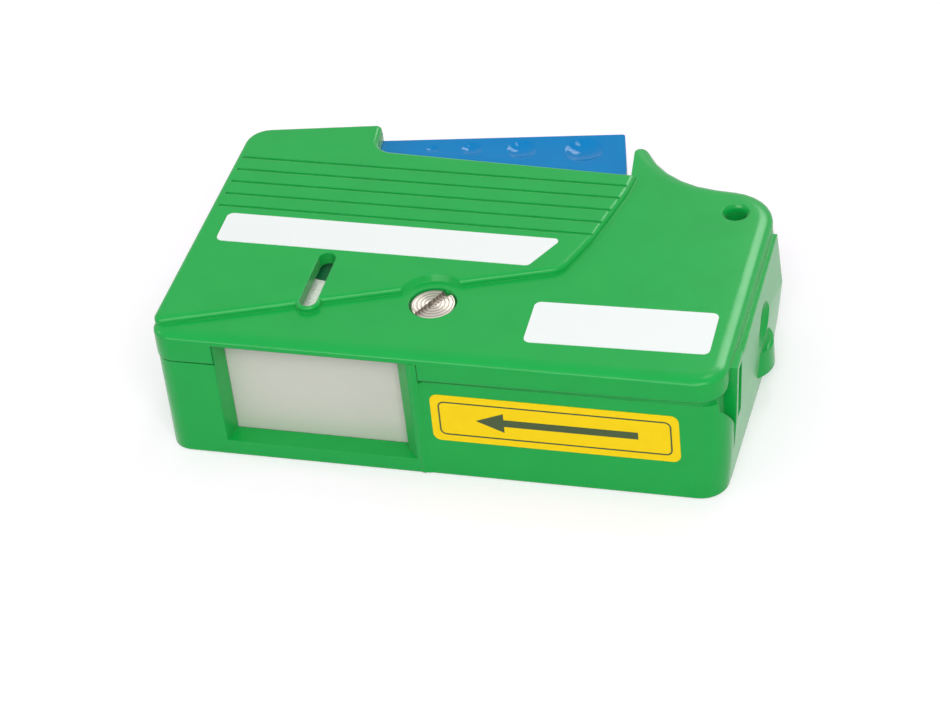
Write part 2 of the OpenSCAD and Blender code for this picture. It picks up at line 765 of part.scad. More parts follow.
function border(cs, d, r) = [for (c = inset(cs, d)) [c[0], c[1], r]];

module arrow_print() {
    edge = label_corners(arrow_label_w, arrow_label_h, arrow_label_r);
    mid = arrow_label_h / 2;
    color(print_green) in_place() on_panel(label_t) {
        difference() {
            plate(border(edge, border_inset, border_r), 0, print_t);
            plate(border(edge, border_inset + border_w, border_r - border_w), -over, over);
        }
        linear_extrude(print_t) polygon([
            [arrow_tip_share * arrow_label_w, mid],
            [arrow_head_share * arrow_label_w, mid - arrow_head_h / 2],
            [arrow_head_share * arrow_label_w, mid - arrow_shaft_h / 2],
            [arrow_tail_share * arrow_label_w, mid - arrow_shaft_h / 2],
            [arrow_tail_share * arrow_label_w, mid + arrow_shaft_h / 2],
            [arrow_head_share * arrow_label_w, mid + arrow_shaft_h / 2],
            [arrow_head_share * arrow_label_w, mid + arrow_head_h / 2]]);
    }
}

// Thumb lever: a hollow box, open towards the reels, with a gear sector under it
dish_radii = [1.6, 2.6, 3.7, 4.7];
dish_shares = [[0.3438, 0.8806], [0.4146, 0.8953], [0.5054, 0.9088], [0.6177, 0.9245]];
dish_depth_share = 0.26;
lever_hub_r = 3.6;

module dish(r) {
    depth = r * dish_depth_share;
    ball = (r * r + depth * depth) / (2 * depth);
    translate([0, 0, ball - depth]) sphere(r = ball);
}

module lever_sector() {
    count = ceil((lever_travel + sector_before + sector_after) * lever_teeth / 360);
    first = mesh_angle - round(sector_before * lever_teeth / 360) * 360 / lever_teeth;
    last = first + (count - 1) * 360 / lever_teeth;
    inner = gear_module * lever_teeth / 2 - sector_depth;
    half = 180 / lever_teeth;
    translate([lever_pivot[0], lever_pivot[1], rocker_z]) {
        linear_extrude(rocker_t) polygon(concat(
            teeth_points(lever_teeth, count, first),
            [polar(inner, last + half), polar(inner, first - half)]));
        // The web that joins the sector to the bottom of the lever
        linear_extrude(rocker_t + lever_wall + slide_gap) polygon([
            polar(inner, first - half), polar(inner + sector_depth * 0.75, first - half),
            polar(inner + sector_depth * 0.8, (first + last) / 2),
            polar(inner + sector_depth * 0.75, last + half), polar(inner, last + half)]);
    }
}

module lever() {
    pocket = inset(lever_corners, lever_wall);
    web_t = lever_z + lever_wall;
    color(blue) in_place() difference() {
        union() {
            difference() {
                plate(lever_corners, lever_z, lever_top_z);
                for (back = [0, 3 * lever_wall])
                    translate([0, -back, 0]) plate(pocket, web_t, lever_top_z - 1.2 * lever_wall);
                // Room for the coils of the return spring
                post(lever_pivot, spring_coil_r + spring_wire_r + slide_gap,
                    web_t, spring_top_z + 2 * slide_gap);
            }
            lever_sector();
            post(lever_pivot, lever_hub_r, lever_z, lever_top_z);
            pawl_web();
        }
        post(lever_pivot, lever_pin_r + running_gap, 0, case_h);
        post(drive_pawl_at, pin_r, 0, ratchet_z + over);
        for (k = [0 : len(dish_radii) - 1])
            translate([dish_shares[k][0] * case_w, dish_shares[k][1] * case_d, lever_top_z])
                dish(dish_radii[k]);
    }
}

// The web that carries the pin of the drive pawl
module pawl_web() {
    first = mesh_angle - sector_before;
    reach = gear_module * lever_teeth / 2 - sector_depth * 0.3;
    translate([lever_pivot[0], lever_pivot[1], lever_z]) linear_extrude(lever_wall)
        polygon([[0, 0], polar(reach, first), polar(reach, mesh_angle + lever_travel + sector_after)]);
}

module lever_pivot_pin() {
    color(steel) in_place() post(lever_pivot, lever_pin_r, pin_depth, pin_top_z);
}

// Torsion spring round the lever's hub, one leg on a post of the base, one on the lever
spring_z = lever_z + lever_wall + 2 * slide_gap;
spring_coil_r = lever_hub_r + slide_gap + spring_wire_r;
spring_pitch = 2 * spring_wire_r + 0.4;
spring_rise = spring_turns * spring_pitch;
spring_top_z = spring_z + spring_rise + 2 * spring_wire_r;
spring_sides = 6;
spring_steps = 16;
// The first leg lies against the post. The last one ends short of the lever's thumb wall by as
// much as the wall comes in when the lever is pressed.
spring_leg_angle = 217;
spring_leg = 15;
spring_reach = 13;
spring_last_leg = 10.4;
spring_last_turn = 8;
spring_post_at = lever_pivot + spring_reach * polar(1, spring_leg_angle)
    + (spring_coil_r - spring_wire_r - post_r - running_gap) * polar(1, spring_leg_angle + 90);

module lever_return_spring() {
    start = spring_leg_angle + 90;
    total = spring_turns * 360 + spring_last_turn;
    count = ceil(total / 360 * spring_steps);
    function coil(a, along, z) = concat(polar(spring_coil_r, a) + polar(along, a + 90), [z]);
    turns = [for (k = [0 : count]) coil(start + total * k / count, 0, spring_rise * k / count)];
    path = concat([coil(start, -spring_leg, 0)], turns,
        [coil(start + total, spring_last_leg, spring_rise)]);
    color(steel) in_place() translate([lever_pivot[0], lever_pivot[1], spring_z + spring_wire_r])
        tube(path, spring_wire_r, spring_sides);
}

// A round wire along a path
module tube(path, r, sides) {
    n = len(path);
    function heading(i) = unit(path[min(i + 1, n - 1)] - path[max(i - 1, 0)]);
    function across(i) = unit(cross([0, 0, 1], heading(i)));
    points = [for (i = [0 : n - 1]) let (t = heading(i), u = across(i), v = cross(t, u))
        for (s = [0 : sides - 1]) path[i] + r * (u * cos(360 * s / sides) + v * sin(360 * s / sides))];
    walls = [for (i = [0 : n - 2]) for (s = [0 : sides - 1])
        [i * sides + s, (i + 1) * sides + s, (i + 1) * sides + (s + 1) % sides, i * sides + (s + 1) % sides]];
    polyhedron(points, concat([[for (s = [0 : sides - 1]) s],
        [for (s = [0 : sides - 1]) n * sides - 1 - s]], walls), convexity = 10);
}

// Shutter: a thin plate behind the window, with a fork at its foot that the rocker's stud moves
module shutter_plate() {
    fork_x = stud_at[0] - stud_r - stud_gap - fork_wall;
    fork_w = 2 * (stud_r + stud_gap + fork_wall);
    color(plate_grey) in_place() {
        difference() {
            union() {
                translate([shutter_x, shutter_y, rocker_z])
                    cube([shutter_w, shutter_t, pin_top_z - rocker_z]);
                translate([shutter_x + shutter_w - over, shutter_y, fork_z])
                    cube([fork_x - shutter_x - shutter_w + over + fork_w, shutter_t, 2 * fork_t]);
                translate([fork_x, shutter_y, fork_z])
                    cube([fork_w, stud_at[1] + fork_end - shutter_y, fork_t]);
            }
            translate([fork_x + fork_wall, shutter_y + shutter_t, fork_z - over])
                cube([2 * (stud_r + stud_gap), case_d, fork_t + 2 * over]);
        }
    }
}

// Rocker: a small gear sector and a long arm, in one piece, that multiply the lever's travel
module shutter_rocker() {
    count = ceil((rocker_swing + 40) * rocker_teeth / 360);
    pitch = 360 / rocker_teeth;
    start = 180 + mesh_angle + pitch / 2 - pitch * (count - 2);
    root = gear_module * (rocker_teeth / 2 - dedendum);
    arm_angle = -90 - rocker_swing / 2;
    color(acetal) in_place() translate([rocker_at[0], rocker_at[1], rocker_z]) difference() {
        union() {
            linear_extrude(rocker_t) polygon(concat(teeth_points(rocker_teeth, count, start), [[0, 0]]));
            cylinder(r = root, h = rocker_t);
            rotate([0, 0, arm_angle]) translate([0, -rocker_arm_w / 2, 0])
                cube([rocker_reach, rocker_arm_w, rocker_t]);
            rotate([0, 0, arm_angle]) translate([rocker_reach, 0, 0]) {
                cylinder(r = rocker_arm_w / 2 + rocker_arm_w / 8, h = rocker_t);
                cylinder(r = stud_r, h = rocker_t + slide_gap + fork_t + slide_gap);
            }
        }
        translate([0, 0, -over]) cylinder(r = rocker_pin_r + running_gap, h = rocker_t + 2 * over);
    }
}

module rocker_pin() {
    color(steel) in_place() post(rocker_at, rocker_pin_r, pin_depth, rocker_z + rocker_t);
}

// Backing pad and its platform, behind the tape at the window
pad_x = roller_left_at[0] + roller_r + pad_end_gap;
pad_y = roller_left_at[1] - roller_r;

module pad_platform() {
    color(acetal) in_place() {
        translate([pad_x, pad_y + pad_t, floor_t])
            cube([pad_w, platform_t, tape_z + tape_w - floor_t]);
        translate([pad_x, pad_y + pad_t, floor_t]) cube([pad_w, platform_foot, platform_t]);
    }
}

module backing_pad() {
    color(pad_grey) in_place() translate([pad_x, pad_y, tape_z]) cube([pad_w, pad_t, tape_w]);
}

// Tape: off the left of the supply reel, round the left roller, across the pad, past the right
// roller and on to the take-up reel. Each turn follows its reel or roller at a small gap
tape_gap = 0.1;
tape_step = 5;
tape_wrap = 20;
// The angle at which a tape touches a circle when it runs on from circle a to circle b
function leave_angle(a, ra, b, rb) = let (d = b - a)
    atan2(d[1], d[0]) - acos((ra - rb) / norm(d));
module tape_web() {
    grow = tape_gap + tape_t / 2;
    s_r = supply_r + grow;
    t_r = takeup_r + grow;
    r_r = roller_r + grow;
    a1 = leave_angle(supply_at, s_r, roller_left_at, r_r) + 360;
    a2 = leave_angle(roller_right_at, r_r, takeup_at, t_r) + 360;
    function arc(at, r, from, to) = let (n = max(1, ceil(abs(to - from) / tape_step)))
        [for (k = [0 : n]) at + polar(r, from + (to - from) * k / n)];
    line = concat(
        arc(supply_at, s_r, a1 - tape_wrap, a1),
        arc(roller_left_at, r_r, a1, 270),
        arc(roller_right_at, r_r, 270, a2),
        arc(takeup_at, t_r, a2, a2 + tape_wrap));
    n = len(line);
    function normal(i) = left_of(unit(line[min(i + 1, n - 1)] - line[max(i - 1, 0)]));
    color(white) in_place() translate([0, 0, tape_z]) linear_extrude(tape_w)
        polygon(concat(
            [for (i = [0 : n - 1]) line[i] - normal(i) * tape_t / 2],
            [for (i = [n - 1 : -1 : 0]) line[i] + normal(i) * tape_t / 2]));
}

// Supply reel
supply_washer_t = 0.8;
module ring(at, r_out, r_in, z0, z1) {
    difference() {
        post(at, r_out, z0, z1);
        post(at, r_in, z0 - over, z1 + over);
    }
}

module supply_felt_washer() {
    color(pad_grey) in_place() ring(supply_at, shoulder_r, spindle_r + running_gap,
        tape_z - supply_washer_t - slide_gap, tape_z - slide_gap);
}

module supply_hub() {
    color(hub_grey) in_place() ring(supply_at, supply_hub_r, spindle_r + running_gap,
        tape_z - slide_gap, hub_top_z);
}

module supply_roll() {
    color(white) in_place() ring(supply_at, supply_r, supply_hub_r, tape_z, tape_z + tape_w);
}

// Take-up reel and its ratchet wheel
module takeup_hub() {
    color(hub_grey) in_place() ring(takeup_at, takeup_hub_r, spindle_r + running_gap, hub_z, hub_top_z);
}

module takeup_roll() {
    color(white) in_place() ring(takeup_at, takeup_r, takeup_hub_r, tape_z, tape_z + tape_w);
}

module ratchet_wheel() {
    color(acetal) in_place() translate([takeup_at[0], takeup_at[1], ratchet_z]) difference() {
        linear_extrude(ratchet_t) polygon([for (k = [0 : ratchet_teeth - 1]) for (s = [0 : ramp_steps])
            polar(ratchet_r - ratchet_tooth_h * s / ramp_steps,
                drive_face + ratchet_pitch * (k + s / ramp_steps) + (s == ramp_steps ? -0.01 : 0))]);
        translate([0, 0, -over]) cylinder(r = spindle_r + running_gap, h = ratchet_t + 2 * over);
    }
}

// A pawl: an eye on its pin, and an arm whose end lies along the face of a ratchet tooth
module pawl(pivot, face_angle) {
    function nose(r) = takeup_at + polar(r, face_angle - pawl_face_gap / r * 180 / PI);
    tip = nose(ratchet_root_r + pawl_lift);
    heel = nose(ratchet_r + pawl_lift);
    off = pawl_w / 2 * left_of(unit(tip - pivot));
    z = ratchet_z + slide_gap / 2;
    difference() {
        union() {
            post(pivot, pawl_eye_r, z, ratchet_z + pawl_t);
            translate([0, 0, z]) linear_extrude(pawl_t - slide_gap / 2)
                polygon([pivot + off, pivot - off, heel, tip]);
        }
        post(pivot, pin_r + running_gap, 0, case_h);
    }
}

module drive_pawl() {
    color(acetal) in_place() pawl(drive_pawl_at, drive_face);
}

module check_pawl() {
    color(acetal) in_place() pawl(check_pawl_at, check_face);
}

module pawl_pin(at, z0) {
    post(at, pin_r, z0, hub_z + slide_gap);
    post(at, pin_r * 1.8, hub_z, hub_z + 2 * slide_gap);
}

module drive_pawl_pin() {
    color(steel) in_place() pawl_pin(drive_pawl_at, lever_z);
}

module check_pawl_pin() {
    color(steel) in_place() pawl_pin(check_pawl_at, pin_depth);
}

// Guide rollers and the pins that they turn on
module roller(at) {
    color(acetal) in_place() ring(at, roller_r, pin_r + running_gap, tape_z, tape_z + tape_w);
}

module guide_roller_left() {
    roller(roller_left_at);
}

module guide_roller_right() {
    roller(roller_right_at);
}

module roller_pin_left() {
    color(steel) in_place() post(roller_left_at, pin_r, pin_depth, hub_top_z);
}

module roller_pin_right() {
    color(steel) in_place() post(roller_right_at, pin_r, pin_depth, hub_top_z);
}

case_base();
top_cover();
coin_screw();
screw_retaining_ring();
threaded_insert();
title_label();
maker_label();
arrow_label();
arrow_print();
lever();
lever_pivot_pin();
lever_return_spring();
shutter_plate();
shutter_rocker();
rocker_pin();
pad_platform();
backing_pad();
tape_web();
supply_hub();
supply_roll();
supply_felt_washer();
takeup_hub();
takeup_roll();
ratchet_wheel();
drive_pawl();
drive_pawl_pin();
check_pawl();
check_pawl_pin();
guide_roller_left();
guide_roller_right();
roller_pin_left();
roller_pin_right();
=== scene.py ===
"""The look of the fibre optic cleaning cassette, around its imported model.

Everything is in metres in the model's own frame: X along the front edge, Y from the front to the
back, Z up from the table.
"""

import math
import random

import bmesh
import bpy
from mathutils import Color, Matrix, Vector


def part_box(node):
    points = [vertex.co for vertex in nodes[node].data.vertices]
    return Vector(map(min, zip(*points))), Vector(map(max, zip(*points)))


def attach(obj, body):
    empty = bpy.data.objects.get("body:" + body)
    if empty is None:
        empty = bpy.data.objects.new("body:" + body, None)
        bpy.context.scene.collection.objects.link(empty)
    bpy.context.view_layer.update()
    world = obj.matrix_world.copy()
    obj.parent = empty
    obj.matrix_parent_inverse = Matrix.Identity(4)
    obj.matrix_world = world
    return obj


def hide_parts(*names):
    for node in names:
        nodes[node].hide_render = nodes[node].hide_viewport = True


MM = 0.001
FULL_TURN = 2 * math.pi

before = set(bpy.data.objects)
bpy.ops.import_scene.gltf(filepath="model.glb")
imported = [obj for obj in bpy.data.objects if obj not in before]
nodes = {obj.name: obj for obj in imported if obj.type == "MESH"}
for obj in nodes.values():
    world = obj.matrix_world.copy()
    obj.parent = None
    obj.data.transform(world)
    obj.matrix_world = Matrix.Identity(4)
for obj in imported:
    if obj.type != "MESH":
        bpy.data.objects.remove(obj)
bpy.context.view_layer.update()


# Materials

CHANNEL_MAX = 255
# The part of a noise texture's values that most of the surface has
NOISE_LOW = 0.3
NOISE_HIGH = 0.7
NOISE_DETAIL = 2
BEVEL_SAMPLES = 6
# How far apart a wave texture's rings are at a scale of 1
WAVE_STEP = math.pi / 10


def srgb(red, green, blue):
    """A colour given as it looks on a screen, from 0 to 255, as linear light."""
    screen = Color((red / CHANNEL_MAX, green / CHANNEL_MAX, blue / CHANNEL_MAX))
    return (*screen.from_srgb_to_scene_linear(), 1)


class Finish:
    """A material that is built up node by node round one Principled shader."""

    def __init__(self, name, colour, roughness, metallic=0, specular=0.5):
        self.material = bpy.data.materials.new(name)
        self.material.use_nodes = True
        self.tree = self.material.node_tree
        self.shader = self.tree.nodes["Principled BSDF"]
        self.colour = colour
        self.place = self.add("ShaderNodeTexCoord").outputs["Object"]
        self.normal = None
        self.set("Base Color", colour)
        self.set("Roughness", roughness)
        self.set("Metallic", metallic)
        self.set("Specular IOR Level", specular)

    def put(self, value, socket):
        """Sets a socket to a value, or links it to another node's output."""
        if isinstance(value, bpy.types.NodeSocket):
            self.tree.links.new(value, socket)
        else:
            socket.default_value = value

    def set(self, name, value):
        """Sets or links one of the shader's own sockets."""
        self.put(value, self.shader.inputs[name])
        return self

    def add(self, kind, **inputs):
        """A new node, with its inputs set or linked by name."""
        node = self.tree.nodes.new(kind)
        for name, value in inputs.items():
            self.put(value, node.inputs[name.replace("_", " ")])
        return node

    def noise(self, size, stretch=(1, 1, 1)):
        """Cloudy noise whose blotches are about that many metres across."""
        scale = [share / size for share in stretch]
        scaled = self.add("ShaderNodeMapping", Vector=self.place, Scale=scale).outputs["Vector"]
        clouds = self.add("ShaderNodeTexNoise", Vector=scaled, Scale=1, Detail=NOISE_DETAIL)
        return clouds.outputs["Fac"]

    def spread(self, value, low, high):
        """A texture's value, stretched to run from low to high."""
        stretched = self.add(
            "ShaderNodeMapRange",
            Value=value,
            From_Min=NOISE_LOW,
            From_Max=NOISE_HIGH,
            To_Min=low,
            To_Max=high,
        )
        return stretched.outputs["Result"]

    def shade(self, value):
        """Multiplies the colour's brightness by a value that varies over the surface."""
        hue = self.add("ShaderNodeHueSaturation", Color=self.colour, Value=value)
        return self.set("Base Color", hue.outputs["Color"])

    def mottle(self, size, amount):
        """Makes the colour a little lighter and darker in blotches."""
        return self.shade(self.spread(self.noise(size), 1 - amount, 1 + amount))

    def wear(self, size, amount):
        """Makes the gloss uneven in blotches."""
        middle = self.shader.inputs["Roughness"].default_value
        uneven = self.spread(self.noise(size), middle - amount, middle + amount)
        return self.set("Roughness", uneven)

    def tool_rings_and_painted_reflection(self, centre, step, dark):
        """Darker rings round an upright axis through the centre: tool rings as a lathe leaves them,
        made darker as a painted reflection of the turned grooves.
        """
        moved = self.add("ShaderNodeMapping", Vector=self.place, Location=(-centre.x, -centre.y, 0))
        rings = self.add(
            "ShaderNodeTexWave", Vector=moved.outputs["Vector"], Scale=WAVE_STEP / step
        )
        rings.wave_type = "RINGS"
        rings.rings_direction = "Z"
        return self.shade(self.spread(rings.outputs["Fac"], dark, 1))

    def turn_normal(self, normal):
        """Shades by this normal, which later bumps build on."""
        self.normal = normal
        return self.set("Normal", normal)

    def rounded(self, radius):
        """Shades sharp edges as if they were rounded."""
        bevel = self.add("ShaderNodeBevel", Radius=radius)
        bevel.samples = BEVEL_SAMPLES
        return self.turn_normal(bevel.outputs["Normal"])

    def grain(self, size, depth, stretch=(1, 1, 1)):
        """Raises and lowers the surface in fine blotches by up to that depth in metres."""
        bump = self.add("ShaderNodeBump", Height=self.noise(size, stretch), Distance=depth)
        if self.normal is not None:
            self.put(self.normal, bump.inputs["Normal"])
        return self.turn_normal(bump.outputs["Normal"])


green = Finish("green plastic", srgb(14, 170, 72), roughness=0.25, specular=0.24)
green.set("Sheen Weight", 0.15).set("Sheen Roughness", 0.35).rounded(radius=0.35 * MM)
green.mottle(size=9 * MM, amount=0.03).wear(size=4 * MM, amount=0.012)
green.grain(size=0.5 * MM, depth=0.01 * MM)

blue = Finish("blue plastic", srgb(0, 130, 197), roughness=0.06, specular=0.12)
blue.rounded(radius=0.3 * MM).mottle(size=8 * MM, amount=0.03).wear(size=5 * MM, amount=0.01)
blue.grain(size=0.6 * MM, depth=0.006 * MM)

label_white = Finish("label white", srgb(240, 245, 244), roughness=0.5)
label_white.mottle(size=0.5 * MM, amount=0.01).grain(size=0.2 * MM, depth=0.004 * MM)

label_yellow = Finish("label yellow", srgb(255, 219, 0), roughness=0.4, specular=0.2)
label_yellow.mottle(size=4 * MM, amount=0.02).grain(size=0.3 * MM, depth=0.004 * MM)

print_green = Finish("printed ink", srgb(55, 78, 32), roughness=0.45)
print_green.mottle(size=0.6 * MM, amount=0.12)

steel = Finish("bright steel", srgb(205, 200, 192), roughness=0.25, metallic=1)
steel.wear(size=1 * MM, amount=0.08)

brass = Finish("brass", srgb(214, 178, 100), roughness=0.3, metallic=1)
brass.wear(size=1 * MM, amount=0.08)

spring = Finish("spring steel", srgb(150, 152, 155), roughness=0.35, metallic=1)
spring.wear(size=1 * MM, amount=0.08)

shutter = Finish("shutter grey", srgb(208, 210, 198), roughness=0.35)
shutter.mottle(size=12 * MM, amount=0.015).grain(size=0.25 * MM, depth=0.003 * MM)

acetal = Finish("white acetal", srgb(232, 230, 220), roughness=0.38)
acetal.mottle(size=6 * MM, amount=0.02).rounded(radius=0.2 * MM)

hub_green = Finish("dark green plastic", srgb(8, 112, 66), roughness=0.45)
hub_green.mottle(size=5 * MM, amount=0.06).rounded(radius=0.2 * MM)

rubber = Finish("pad rubber", srgb(66, 68, 72), roughness=0.75)
rubber.mottle(size=2 * MM, amount=0.08).grain(size=0.4 * MM, depth=0.03 * MM)

tape = Finish("cleaning tape", srgb(246, 246, 243), roughness=0.85)
tape.mottle(size=0.6 * MM, amount=0.02)
tape.grain(size=0.15 * MM, depth=0.01 * MM, stretch=(1, 1, 0.35))

# The head's tool rings, painted darker as a reflection of the turned grooves, are added with the
# coin screw, because they lie round its axis
turned_steel = Finish("turned steel", srgb(196, 187, 177), roughness=0.3, metallic=1)
turned_steel.set("Anisotropic", 0.75)
turned_steel.set("Tangent", turned_steel.add("ShaderNodeTangent").outputs["Tangent"])

felt = Finish("felt", srgb(105, 107, 112), roughness=0.95)
felt.mottle(size=0.7 * MM, amount=0.12).grain(size=0.3 * MM, depth=0.08 * MM)

FINISHES = {
    green: ["case_base", "top_cover"],
    blue: ["lever"],
    label_white: ["title_label", "maker_label"],
    label_yellow: ["arrow_label"],
    print_green: ["arrow_print"],
    steel: ["coin_screw", "screw_retaining_ring", "lever_pivot_pin", "rocker_pin",
            "drive_pawl_pin", "check_pawl_pin", "roller_pin_left", "roller_pin_right"],
    brass: ["threaded_insert"],
    spring: ["lever_return_spring"],
    shutter: ["shutter_plate"],
    acetal: ["shutter_rocker", "pad_platform", "ratchet_wheel", "drive_pawl", "check_pawl",
             "guide_roller_left", "guide_roller_right"],
    hub_green: ["supply_hub", "takeup_hub"],
    rubber: ["backing_pad"],
    tape: ["tape_web", "supply_roll", "takeup_roll"],
    felt: ["supply_felt_washer"],
}
for finish, names in FINISHES.items():
    for name in names:
        nodes[name].data.materials.clear()
        nodes[name].data.materials.append(finish.material)


# Pieces with more detail than the model's own solids

SMOOTH_ANGLE = math.radians(40)
# Points closer than this count as one
SAME_POINT = 0.001 * MM


def extent(node):
    """A round node's centre, its radius, and its lowest and highest point."""
    low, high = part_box(node)
    return (low + high) / 2, (high.x - low.x) / 2, low.z, high.z


def finished_mesh(name, shape):
    """The shape that has been built up, as a mesh."""
    mesh = bpy.data.meshes.new(name)
    shape.to_mesh(mesh)
    shape.free()
    return mesh


def piece(name, mesh, finish, body, replaced, smooth_angle=SMOOTH_ANGLE):
    """A mesh as an object that takes a node's place on its body."""
    made = bpy.data.objects.new(name, mesh)
    bpy.context.collection.objects.link(made)
    mesh.materials.append(finish.material)
    for face in mesh.polygons:
        face.use_smooth = True
    mesh.set_sharp_from_angle(angle=smooth_angle)
    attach(made, body)
    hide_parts(replaced)
    return made


def lathe(name, profile, centre, sides, wobble=None):
    """A mesh turned from a closed profile of (radius, height) points round an upright axis."""
    shape = bmesh.new()
    rings = []
    for side in range(sides):
        angle = FULL_TURN * side / sides
        ring = []
        for radius, height in profile:
            reach = radius + (wobble(angle, radius) if wobble else 0)
            x = centre.x + reach * math.cos(angle)
            y = centre.y + reach * math.sin(angle)
            ring.append(shape.verts.new((x, y, height)))
        rings.append(ring)
    for side in range(sides):
        one, two = rings[side], rings[(side + 1) % sides]
        for k in range(len(profile)):
            following = (k + 1) % len(profile)
            shape.faces.new((one[k], two[k], two[following], one[following]))
    bmesh.ops.remove_doubles(shape, verts=shape.verts, dist=SAME_POINT)
    bmesh.ops.dissolve_degenerate(shape, edges=shape.edges, dist=SAME_POINT)
    bmesh.ops.recalc_face_normals(shape, faces=shape.faces)
    return finished_mesh(name, shape)


# The wound rolls: each turn of tape stands a little higher or lower than the one before

WINDING_STEP = 0.45 * MM
WINDING_UNEVEN = 0.16 * MM
# The groove between two turns, deeper than the lowest of them
WINDING_GROOVE = 0.24 * MM
WINDING_EDGE = 0.3 * MM
# How much of its step a turn of tape leaves free on each side
WINDING_GAP_SHARE = 0.12
WINDING_SIDES = 128
WINDING_SEED = 7

random.seed(WINDING_SEED)


def wound_roll(node, hub, body):
    """A reel of tape whose turns show as uneven rings on both faces."""
    centre, outer, low, high = extent(node)
    inner = extent(hub)[1]
    count = round((outer - inner) / WINDING_STEP)
    step = (outer - inner) / count
    gap = WINDING_GAP_SHARE * step
    top = []
    bottom = []
    for k in range(count):
        start = inner + k * step + gap
        end = inner + (k + 1) * step - gap
        rise = high - random.random() * WINDING_UNEVEN
        drop = low + random.random() * WINDING_UNEVEN
        top += [(start, rise), (end, rise), (end + gap, high - WINDING_GROOVE)]
        bottom += [(start, drop), (end, drop), (end + gap, low + WINDING_GROOVE)]
    profile = [(inner, high - WINDING_UNEVEN)]
    profile += top[:-1]
    profile += [(outer, high - WINDING_EDGE), (outer, low + WINDING_EDGE)]
    profile += reversed(bottom[:-1])
    profile += [(inner, low + WINDING_UNEVEN)]
    mesh = lathe(node + "_winding", profile, centre, WINDING_SIDES)
    piece(node + "_winding", mesh, tape, body, node)


wound_roll("supply_roll", "supply_hub", "supply_reel")
wound_roll("takeup_roll", "takeup_hub", "takeup_reel")


# The tape between the reels: round each reel and roller at a small gap

TAPE_THICKNESS = 0.15 * MM
TAPE_GAP = 0.1 * MM
TAPE_WRAP = math.radians(20)
TAPE_CUT = 2 * MM
TAPE_ROWS = 6
ARC_STEP = math.radians(3)
# The direction to the front, seen from above
FRONT = math.radians(-90)


def leave_angle(one, one_radius, other, other_radius):
    """The angle at which a tape leaves one circle on its way to the other."""
    way = other - one
    return math.atan2(way.y, way.x) - math.acos((one_radius - other_radius) / way.length)


def arc(centre, radius, first, last):
    """Points along a circle from the first angle to the last, anticlockwise."""
    while last < first:
        last += FULL_TURN
    count = max(2, math.ceil((last - first) / ARC_STEP))
    angles = [first + (last - first) * k / count for k in range(count + 1)]
    return [centre + radius * Vector((math.cos(angle), math.sin(angle))) for angle in angles]


def tape_path():
    """The tape's middle line, seen from above, from the supply roll to the take-up roll."""
    spots = []
    for node in ("supply_roll", "guide_roller_left", "guide_roller_right", "takeup_roll"):
        centre, radius, _, _ = extent(node)
        spots.append((centre.to_2d(), radius + TAPE_GAP + TAPE_THICKNESS / 2))
    (supply, supply_r), (left, roller_r), (right, _), (takeup, takeup_r) = spots
    start = leave_angle(supply, supply_r, left, roller_r)
    end = leave_angle(right, roller_r, takeup, takeup_r)
    return (
        arc(supply, supply_r, start - TAPE_WRAP, start)
        + arc(left, roller_r, start, FRONT)
        + arc(right, roller_r, FRONT, end)
        + arc(takeup, takeup_r, end, end + TAPE_WRAP)
    )


def tape_strip():
    """The free tape, as wide as its solid and stretched along its path."""
    low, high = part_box("tape_web")
    bottom, top = low.z, high.z
    points = tape_path()
    dense = [points[0]]
    for a, b in zip(points, points[1:]):
        count = max(1, math.ceil((b - a).length / TAPE_CUT))
        dense += [a.lerp(b, k / count) for k in range(1, count + 1)]
    levels = [bottom + (top - bottom) * k / TAPE_ROWS for k in range(TAPE_ROWS + 1)]
    shape = bmesh.new()
    grid = [[shape.verts.new((point.x, point.y, level)) for level in levels] for point in dense]
    for one, two in zip(grid, grid[1:]):
        for k in range(TAPE_ROWS):
            shape.faces.new((one[k], two[k], two[k + 1], one[k + 1]))
    mesh = finished_mesh("tape_strip", shape)
    made = piece("tape_strip", mesh, tape, "case", "tape_web")
    solid = made.modifiers.new("thickness", "SOLIDIFY")
    solid.thickness = TAPE_THICKNESS
    solid.offset = 0


tape_strip()


# The soft pad behind the tape, crowned at its front and pulled in between its corners

PAD_CROWN = 0.35 * MM
PAD_PULL = 0.25 * MM
PAD_CUTS = 15
# How late the crown falls off towards the edges, and how close to the corners the pull ends
PAD_CROWN_POWER = 6
PAD_CORNER_POWER = 2
PAD_SMOOTH_ANGLE = math.radians(60)


def soft_pad():
    """The pad, bent from a finely cut block that fills its solid."""
    low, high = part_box("backing_pad")
    middle = (low + high) / 2
    half = (high - low) / 2
    shape = bmesh.new()
    bmesh.ops.create_cube(shape, size=2)
    bmesh.ops.subdivide_edges(shape, edges=shape.edges, cuts=PAD_CUTS, use_grid_fill=True)
    for vert in shape.verts:
        across, deep, up = vert.co
        front = (1 - deep) / 2
        edge = max(abs(across), abs(up)) ** PAD_CROWN_POWER
        pull = PAD_PULL * (1 - abs(across * up) ** PAD_CORNER_POWER) * front
        vert.co = (
            middle.x + across * (half.x - pull * abs(across)),
            middle.y + deep * half.y + front * PAD_CROWN * edge,
            middle.z + up * (half.z - pull * abs(up)),
        )
    bmesh.ops.recalc_face_normals(shape, faces=shape.faces)
    mesh = finished_mesh("soft_pad", shape)
    made = piece("soft_pad", mesh, rubber, "case", "backing_pad", PAD_SMOOTH_ANGLE)


soft_pad()


# The felt washer under the supply hub, with soft uneven edges

FELT_BORE_RADIUS = 3.15 * MM
FELT_UNEVEN = 0.03 * MM
# How much of the washer's height its soft edge takes, and of that how far in its middle lies
FELT_SOFT_SHARE = 0.35
FELT_CORNER_SHARE = 0.3
FELT_WAVES = 6
FELT_FIRST_WAVE = 5
FELT_WAVE_STEP = 4
FELT_SIDES = 96
FELT_SEED = 11


